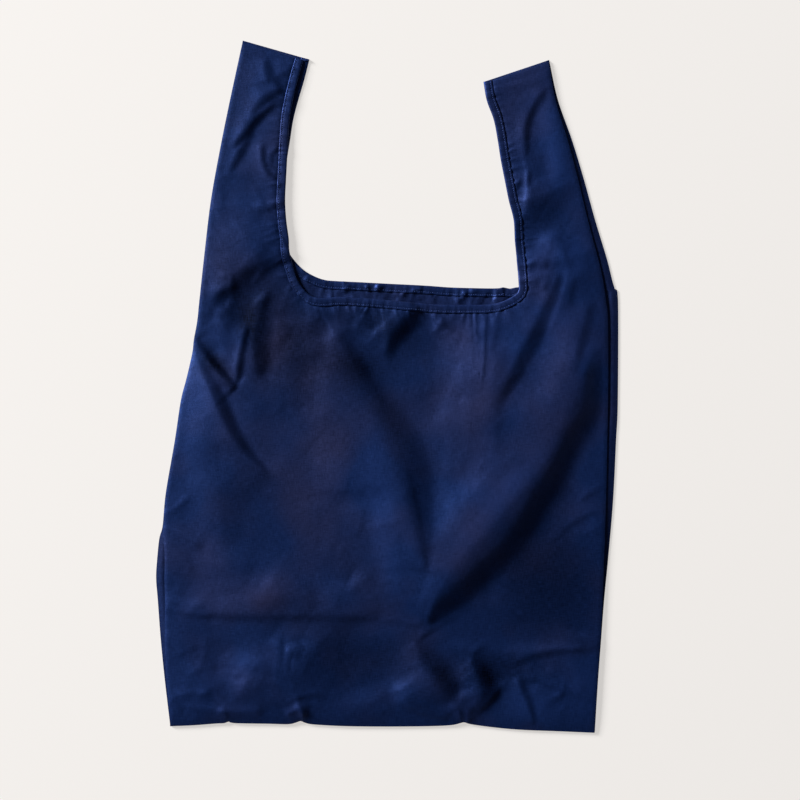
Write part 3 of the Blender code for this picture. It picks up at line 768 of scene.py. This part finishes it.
def sweep(curve, profile, height):
    """A strip along a curve, with one row of points that lies exactly on each fold line."""
    t, n = side_normals(curve)
    off, rise = np.array(profile, float).T
    grid = curve[:, None, :] + n[:, None, :] * off[None, :, None]
    for k in range(3):
        on_curve = cut_values(curve[:, 0], curve[:, 1])[k]
        for i in np.nonzero(np.diff(np.sign(on_curve)))[0]:
            if abs(on_curve[i]) > 5:
                continue
            row = i if abs(on_curve[i]) < abs(on_curve[i + 1]) else i + 1
            p = grid[row]
            here = cut_values(p[:, 0], p[:, 1])[k]
            ahead = cut_values(p[:, 0] + 0.1 * t[row, 0], p[:, 1] + 0.1 * t[row, 1])[k]
            grid[row] = p - t[row] * (here / ((ahead - here) / 0.1))[:, None]
    z = np.maximum(height(grid[..., 0], grid[..., 1]) + rise, 0.35)
    verts = np.dstack([grid, z]).reshape(-1, 3)
    rows, cols = z.shape
    i, j = np.meshgrid(np.arange(rows - 1), np.arange(cols - 1), indexing="ij")
    a = (i * cols + j).ravel()
    b = a + cols
    faces = np.vstack([np.column_stack([a, b, b + 1]), np.column_stack([a, b + 1, a + 1])])
    p, q, r = (verts[faces[:, i]] for i in range(3))
    if np.cross(q - p, r - p)[:, 2].sum() < 0:
        faces = faces[:, ::-1]
    return verts, faces, cols


def split(stem, layer, verts, faces, cols, thickness, material, nodes, slot):
    """Makes one piece for each part of the bag that a strip, with cols points in each row, runs over."""
    centre = verts[faces].mean(axis=1)
    where = regions(centre[:, 0], centre[:, 1])
    for region in np.unique(where):
        part = faces[where == region]
        obj = shell(f"{stem}_{region}", verts, part, thickness, material)
        bend(obj, str(region), layer)
        if region in nodes:
            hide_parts(*nodes[region])
        used = np.unique(part)
        middle = verts[used[used % cols == cols // 2]]
        length = float(np.linalg.norm(np.diff(middle, axis=0), axis=1).sum()) * MM


def grains(places, tangents, long, wide, high):
    """Stitches: small closed grains of thread that lie along a seam."""
    rings = [(-0.5, 0.0), (-0.36, 0.7), (0.0, 1.0), (0.36, 0.7), (0.5, 0.0)]
    verts, faces = [], []
    for (x, y, z), (tx, ty) in zip(places, tangents):
        base = len(verts)
        for along, full in rings:
            for k in range(6 if full else 1):
                a = math.tau * k / 6
                u, v = math.cos(a) * full * wide / 2, math.sin(a) * full * high / 2
                verts.append((x + tx * along * long + ty * u, y + ty * along * long - tx * u, z + v))
        starts = [base, base + 1, base + 7, base + 13, base + 19]
        for k in range(6):
            m = (k + 1) % 6
            faces.append((starts[0], starts[1] + m, starts[1] + k))
            for p, q in ((starts[1], starts[2]), (starts[2], starts[3])):
                faces.append((p + k, p + m, q + m, q + k))
            faces.append((starts[3] + k, starts[3] + m, starts[4]))
    return np.array(verts), faces


def stitch(layer, curve, height):
    """A row of topstitching beside a curve."""
    curve = even(curve, STITCH_STEP)[1:-1]
    t, n = side_normals(curve)
    at = curve + n * STITCH_IN
    z = height(at[:, 0], at[:, 1]) + STITCH_LIFT
    where = regions(at[:, 0], at[:, 1])
    for region in np.unique(where):
        pick = where == region
        places = np.column_stack([at, z])[pick]
        verts, faces = grains(places, t[pick], STITCH_STEP * 0.72, STITCH_WIDE, STITCH_HIGH)
        obj = new_mesh(f"{layer}_stitching_{region}", verts, faces, THREAD)
        bend(obj, str(region), layer)


def roll(name, curve, wide, high, level, region, layer, replaced):
    """A closed rolled seam along a curve, with its middle at one level."""
    _, n = side_normals(curve)
    sides = 10
    verts = []
    for p, m in zip(curve, n):
        for k in range(sides):
            a = math.tau * k / sides
            verts.append((*(p + m * math.cos(a) * wide / 2), level + math.sin(a) * high / 2))
    verts = np.array(verts)
    faces = []
    for i in range(len(curve) - 1):
        for k in range(sides):
            m = (k + 1) % sides
            faces.append((i * sides + k, i * sides + m, (i + 1) * sides + m, (i + 1) * sides + k))
    last = (len(curve) - 1) * sides
    faces += [tuple(range(sides))[::-1], tuple(range(last, last + sides))]
    p, q, r = verts[faces[0][0]], verts[faces[0][1]], verts[faces[0][2]]
    middle = verts[: 2 * sides].mean(axis=0)
    if np.dot(np.cross(q - p, r - p), p - middle) < 0:
        faces = [f[::-1] for f in faces]
    caps = [(start + i, start + (i + 1) % sides) for start in (0, last) for i in range(sides)]
    obj = new_mesh(name, verts, faces, TAPE, caps)
    bend(obj, region, layer)
    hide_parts(*replaced)


def gusset(edge, outer, inner, sign, nodes):
    """The side of the bag, folded in between the front and the back."""
    columns = np.array([0, 0.03, 0.1, 0.25, 0.4, 0.55, 0.7, 0.85, 0.95, 1.0])
    outer_top, inner_top = outer[-1], inner[-1]
    inner_edge = np.array(inner, float)
    step = 5.0
    lower = np.linspace(-312, HANDLE_ROOT_Y, round(449 / step))
    upper = np.linspace(HANDLE_ROOT_Y, outer_top[1] - 3, round(180 / step))[1:]
    rows = []
    for y0 in [*lower, *upper]:
        start = across(edge, y0) + sign * 1.6
        room = abs(across(inner_edge, y0) - start) - 9.5
        depth = min(GUSSET_DEPTH, room) if y0 > 100 else GUSSET_DEPTH
        x = start + sign * depth * columns
        if y0 > HANDLE_ROOT_Y:
            top = np.interp(x, *np.array(sorted([outer_top, inner_top])).T) - 2.5
            y = HANDLE_ROOT_Y + (top - HANDLE_ROOT_Y) * (y0 - HANDLE_ROOT_Y) / (upper[-1] - HANDLE_ROOT_Y)
        else:
            foot = np.interp(x, E_BOTTOM[:, 0], E_BOTTOM[:, 1]) + 2.2
            share = (y0 - lower[0]) / (lower[-1] - lower[0])
            y = foot + (HANDLE_ROOT_Y - foot) * share
        rows.append((x, y))
    x, y = np.array(rows).transpose(1, 0, 2)
    under, over = back_flat(x, y) + 0.42, front_flat(x, y) - 0.55
    over = np.minimum(over, under + 1.3)
    under = np.minimum(under, over - 0.26)
    close = ramp((columns - 0.9) / 0.1)
    middle = (under + over) / 2
    up, down = over + (middle - over) * close, under + (middle - under) * close
    back_again = slice(-2, None, -1)
    verts = np.dstack([np.hstack([v, w[:, back_again]]) for v, w in ((x, x), (y, y), (up, down))])
    count, wide = verts.shape[:2]
    verts = verts.reshape(-1, 3)
    i, j = np.meshgrid(np.arange(count - 1), np.arange(wide - 1), indexing="ij")
    a = (i * wide + j).ravel()
    b = a + wide
    faces = np.vstack([np.column_stack([a, a + 1, b + 1]), np.column_stack([a, b + 1, b])])
    if sign < 0:
        faces = faces[:, ::-1]
    split("gusset_cloth", "front", verts, faces, wide, GUSSET_T, INSIDE_NYLON_PAINTED_SHADE, nodes, "nylon")


# ---- materials --------------------------------------------------------------------------------

def nylon(name, colour, patch, roughness):
    """Plain weave with a satin gloss, with dye that is uneven and turns plum where the mesh says so, and with
    light, shade and a whiter gloss painted in where the mesh says so.
    """
    material = bpy.data.materials.new(name)
    material.use_nodes = True
    tree = material.node_tree
    tree.nodes.clear()

    def node(kind, inputs=None, **settings):
        """A new node: each input is a constant, or the output that it takes its value from."""
        new = tree.nodes.new("ShaderNode" + kind)
        for key, value in settings.items():
            setattr(new, key, value)
        for socket, value in (inputs or {}).items():
            if isinstance(value, bpy.types.NodeSocket):
                tree.links.new(value, new.inputs[socket])
            else:
                new.inputs[socket].default_value = value
        return new

    def scaled(value, low, high, to_low, to_high, clamp=True):
        limits = {"From Min": low, "From Max": high, "To Min": to_low, "To Max": to_high}
        return node("MapRange", {"Value": value, **limits}, clamp=clamp).outputs[0]

    def added(a, b, clamp=False):
        return node("Math", {0: a, 1: b}, operation="ADD", use_clamp=clamp).outputs[0]

    def mixed(factor, a, b, blend="MIX"):
        mix = node("Mix", data_type="RGBA", blend_type=blend)
        for socket, value in (("Factor", factor), ("A", a), ("B", b)):
            if isinstance(value, bpy.types.NodeSocket):
                tree.links.new(value, mix.inputs[socket])
            else:
                mix.inputs[socket].default_value = value
        return mix.outputs["Result"]

    place = node("UVMap", uv_map="Cloth").outputs[0]
    # large faint patches in the dye
    large = node("TexNoise", {"Vector": place, "Scale": 16.0, "Detail": 2.0, "Roughness": 0.45})
    uneven = scaled(large.outputs["Fac"], 0.35, 0.65, -0.18, 0.28, clamp=False)
    # the mesh's Tint adds plum dye and a painted whiter gloss to these random patches
    plum_dye_and_painted_gloss = added(node("Attribute", attribute_name="Tint").outputs["Fac"], uneven, clamp=True)
    # threads, a little uneven in their colour
    threads = []
    for scale in ((1500, 150, 1), (150, 1500, 1)):
        along = node("Mapping", {"Vector": place, "Scale": scale}).outputs[0]
        threads.append(node("TexNoise", {"Vector": along, "Scale": 1.0, "Detail": 1.0}).outputs["Fac"])
    both = added(*threads)
    # painted light and shade from the mesh, added to the uneven threads: one factor that lightens or darkens
    # both the dye and the gloss
    painted_light_and_shade = node("Attribute", attribute_name="PaintedLightAndShade").outputs["Fac"]
    depth = added(scaled(both, 0.7, 1.3, 0.82, 1.18), painted_light_and_shade)
    dye = mixed(plum_dye_and_painted_gloss, (*colour, 1), (*patch, 1))
    # light that goes through the filaments comes back blue, in a broad satin gloss, painted whiter where the
    # mesh's Tint says so: a painted reflection
    gleam = mixed(plum_dye_and_painted_gloss, (0.109, 0.230, 0.80, 1), (0.255, 0.27, 0.67, 1))
    # plain weave: a fine grid of crossing threads, with slubs
    bands = []
    for axis in ("X", "Y"):
        waves = {"Vector": place, "Scale": 560.0, "Distortion": 0.6, "Detail": 1.0}
        bands.append(node("TexWave", waves, wave_type="BANDS", bands_direction=axis).outputs["Fac"])
    grid = node("Math", {0: bands[0], 1: bands[1]}, operation="MULTIPLY").outputs[0]
    weave = node("Bump", {"Strength": 0.35, "Distance": 0.00012, "Height": added(grid, both)}).outputs[0]
    # slight crinkle between the larger folds
    crinkle = node("TexNoise", {"Vector": place, "Scale": 90.0, "Detail": 4.0, "Roughness": 0.55})
    heights = {"Strength": 0.16, "Distance": 0.0016, "Height": crinkle.outputs["Fac"], "Normal": weave}
    shader = node("BsdfPrincipled", {
        "IOR": 1.7,
        "Specular IOR Level": 1.0,
        "Base Color": mixed(1.0, dye, depth, "MULTIPLY"),
        "Specular Tint": mixed(1.0, gleam, depth, "MULTIPLY"),
        "Roughness": scaled(both, 0.6, 1.4, roughness - 0.05, roughness + 0.05),
        "Normal": node("Bump", heights).outputs[0],
    })
    node("OutputMaterial", {0: shader.outputs[0]})
    return material


NAVY = nylon("navy_nylon", (0.0024, 0.0104, 0.055), (0.0107, 0.0130, 0.047), 0.50)
# the inside of the bag: the same navy nylon, painted darker as shade for the inside
INSIDE_NYLON_PAINTED_SHADE = nylon("navy_nylon_inside_painted_shade", (0.0040, 0.0085, 0.042), (0.0080, 0.0100, 0.038), 0.52)
TAPE = nylon("binding_tape", (0.0030, 0.0095, 0.050), (0.0090, 0.0120, 0.044), 0.48)
THREAD = nylon("thread", (0.0340, 0.0600, 0.1900), (0.0360, 0.0600, 0.1800), 0.42)


# ---- the bag ----------------------------------------------------------------------------------

def outline(left, right, inner, step):
    """The edge of one layer of cloth, without points that lie almost on the one before."""
    ring = np.vstack([
        even(E_BOTTOM, step)[:-1], even(right, step), even(inner[::-1], step), even(left[::-1], step)[:-1],
    ])
    keep = [0]
    for i in range(1, len(ring)):
        if np.hypot(*(ring[i] - ring[keep[-1]])) > 0.8:
            keep.append(i)
    if np.hypot(*(ring[keep[-1]] - ring[0])) < 0.8:
        keep.pop()
    return ring[keep]


STEP = 2.2
front = outline(E_LEFT_FRONT, E_RIGHT_FRONT, INNER_FRONT, STEP)
lay_cloth("front", front, INNER_FRONT, hemmed(front_flat, INNER_FRONT, 8, 1.0), STEP, NAVY, {
    "center": ["front_panel_center", "front_panel_mouth"],
    "left": ["front_panel_left"],
    "right": ["front_panel_right"],
    "left_handle": ["handle_left_front"],
    "right_handle": ["handle_right_front"],
})
BACK_STEP = STEP * 1.2
back = outline(E_LEFT_BACK, E_RIGHT_BACK, INNER_BACK, BACK_STEP)
lay_cloth("back", back, INNER_BACK, hemmed(back_flat, INNER_BACK, 9, 0.7), BACK_STEP, INSIDE_NYLON_PAINTED_SHADE, {
    "center": ["back_panel_center"],
    "left": ["back_panel_left"],
    "right": ["back_panel_right"],
    "left_handle": ["handle_left_back"],
    "right_handle": ["handle_right_back"],
})
for name, edge, outer, inner, sign in (
    ("left", E_LEFT_FRONT, LEFT_FRONT, LEFT_INNER_FRONT, 1),
    ("right", E_RIGHT_FRONT, RIGHT_FRONT, RIGHT_INNER, -1),
):
    gusset(edge, outer, inner, sign, {
        name: [f"gusset_{name}"],
        f"{name}_handle": [f"handle_{name}_gusset_front", f"handle_{name}_gusset_back"],
    })

# tape folded over the edge of the mouth and handles, from its stitched edge over to its fold and under
TAPE_PROFILE = [
    (7.6, -0.15), (7.4, 0.35), (6.9, 0.52), (6.2, 0.44), (5.7, 0.30), (5.2, 0.42), (4.4, 0.55), (3.0, 0.60),
    (1.6, 0.58), (0.7, 0.50), (0.0, 0.28), (-0.35, -0.05), (-0.3, -0.42), (0.3, -0.75), (1.2, -0.85),
]


def tape_height(flat, inner, seed):
    """The tape lies on the cloth, and waves a little where the stitching draws it in."""
    pick = np.random.default_rng(seed)
    waves = [(pick.uniform(4, 13), pick.uniform(0, math.tau), pick.uniform(0.04, 0.11)) for _ in range(7)]

    def height(x, y):
        d, run = near(inner, x, y)
        drawn = 0.3 + 0.7 * ramp(np.abs(d) / HEM_W)
        wave = sum(size * np.sin(math.tau * run / long + phase) for long, phase, size in waves)
        return flat(x, y) + drawn * wave
    return height


RUN = 1.5
front_tape = tape_height(front_flat, INNER_FRONT, 31)
layers = (("front", INNER_FRONT, front_tape), ("back", INNER_BACK, tape_height(back_flat, INNER_BACK, 32)))
for layer, inner, tape in layers:
    split(f"{layer}_tape", layer, *sweep(even(inner, RUN), TAPE_PROFILE, tape), TAPE_T, TAPE, {
        "center": [f"{layer}_binding_center"],
        "left": [f"{layer}_binding_left"],
        "right": [f"{layer}_binding_right"],
        "left_handle": [f"handle_left_{layer}_binding"],
        "right_handle": [f"handle_right_{layer}_binding"],
    }, "binding")
# the ends of the tape lie over its start, one on each handle
TAPE_END_T = 0.2
END_PROFILE = [(off * 1.05 - 0.25, rise + 0.26) for off, rise in TAPE_PROFILE[:13]]
for name, picked in (
    ("left", lambda c: (c[:, 0] < 0) & (np.abs(c[:, 1] - 220.5) < 5)),
    ("right", lambda c: (c[:, 0] > 100) & (np.abs(c[:, 1] - 112.5) < 6)),
):
    curve = even(INNER_FRONT, 1.0)
    end = sweep(curve[picked(curve)], END_PROFILE, front_tape)
    split(f"tape_end_{name}", "front", *end, TAPE_END_T, TAPE, {}, "binding")
for layer, inner, tape in layers:
    stitch(layer, inner, tape)


def between(curve, low, high):
    """The part of a curve that is between two lines, ending exactly on them."""
    index = np.nonzero((low(curve) > 0) & (high(curve) < 0))[0]
    part = [curve[i] for i in index]
    for value, inside, outside in ((low, index[0], index[0] - 1), (high, index[-1], index[-1] + 1)):
        if 0 <= outside < len(curve):
            a, b = value(curve[[inside, outside]])
            crossing = curve[inside] + (curve[outside] - curve[inside]) * a / (a - b)
            part.insert(0 if outside < inside else len(part), crossing)
    return np.array(part)


FOOT_LEVEL, TOP_LEVEL = 1.15, 1.5
foot = even(E_BOTTOM, 1.5) + (0, 0.5)
left_of = lambda c: -beyond(LEFT_FOLD, c[:, 0], c[:, 1])
right_of = lambda c: -beyond(RIGHT_FOLD, c[:, 0], c[:, 1])
inside_all = lambda c: np.full(len(c), 1.0)
outside_none = lambda c: np.full(len(c), -1.0)
for name, low, high in (
    ("left", inside_all, left_of), ("center", left_of, right_of), ("right", right_of, outside_none),
):
    part = between(foot, low, high)
    roll(f"bottom_roll_{name}", part, 1.7, 1.7, FOOT_LEVEL, name, "back", [f"bottom_seam_{name}"])
for name, ends in (
    ("left", (LEFT_FRONT[-1], LEFT_INNER_FRONT[-1], LEFT_INNER_BACK[-1])),
    ("right", (RIGHT_FRONT[-1], RIGHT_INNER[-1])),
):
    top = even(np.array(ends, float) + (0, -0.7), 2.0)
    roll(f"top_roll_{name}", top, 1.5, 1.9, TOP_LEVEL, f"{name}_handle", "front", [f"handle_{name}_top_seam"])


# ---- floor, light and camera ------------------------------------------------------------------

def make_floor(reach):
    material = bpy.data.materials.new("floor")
    material.use_nodes = True
    shader = material.node_tree.nodes["Principled BSDF"]
    shader.inputs["Base Color"].default_value = (0.44, 0.425, 0.41, 1)
    shader.inputs["Roughness"].default_value = 0.9
    shader.inputs["Specular IOR Level"].default_value = 0.1
    shader.inputs["Emission Color"].default_value = (1.0, 0.965, 0.935, 1)
    shader.inputs["Emission Strength"].default_value = 0.59
    data = bpy.data.meshes.new("floor")
    corners = [(-reach, -reach, 0), (reach, -reach, 0), (reach, reach, 0), (-reach, reach, 0)]
    data.from_pydata(corners, [], [(0, 1, 2, 3)])
    data.materials.append(material)
    floor = bpy.data.objects.new("floor", data)
    bpy.context.scene.collection.objects.link(floor)
    floor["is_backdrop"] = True


def make_light(location, size, power):
    """A square softbox that faces the bag."""
    data = bpy.data.lights.new("key", "AREA")
    data.size = size
    data.energy = power
    light = bpy.data.objects.new("key", data)
    light.location = location
    light.rotation_euler = (-Vector(location)).to_track_quat("-Z", "Y").to_euler()
    bpy.context.scene.collection.objects.link(light)


def make_camera(x, y, width):
    """A camera that looks straight down, and sees this width of the floor."""
    data = bpy.data.cameras.new("camera")
    data.lens = 85
    data.sensor_width = 36
    data.clip_end = 20
    camera = bpy.data.objects.new("camera", data)
    camera.location = (x, y, width / 2 / math.tan(math.atan(data.sensor_width / 2 / data.lens)))
    bpy.context.scene.collection.objects.link(camera)
    bpy.context.scene.camera = camera


make_floor(40)
make_light((-6.4, 3.8, 2.9), 2.4, 1108)
world = bpy.data.worlds.new("studio")
world.use_nodes = True
world.node_tree.nodes["Background"].inputs["Color"].default_value = (1, 1, 1, 1)
world.node_tree.nodes["Background"].inputs["Strength"].default_value = 0.05
bpy.context.scene.world = world
bpy.context.scene.view_settings.view_transform = "Standard"
make_camera(0.0121, -0.0126, 0.744)

low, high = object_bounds()
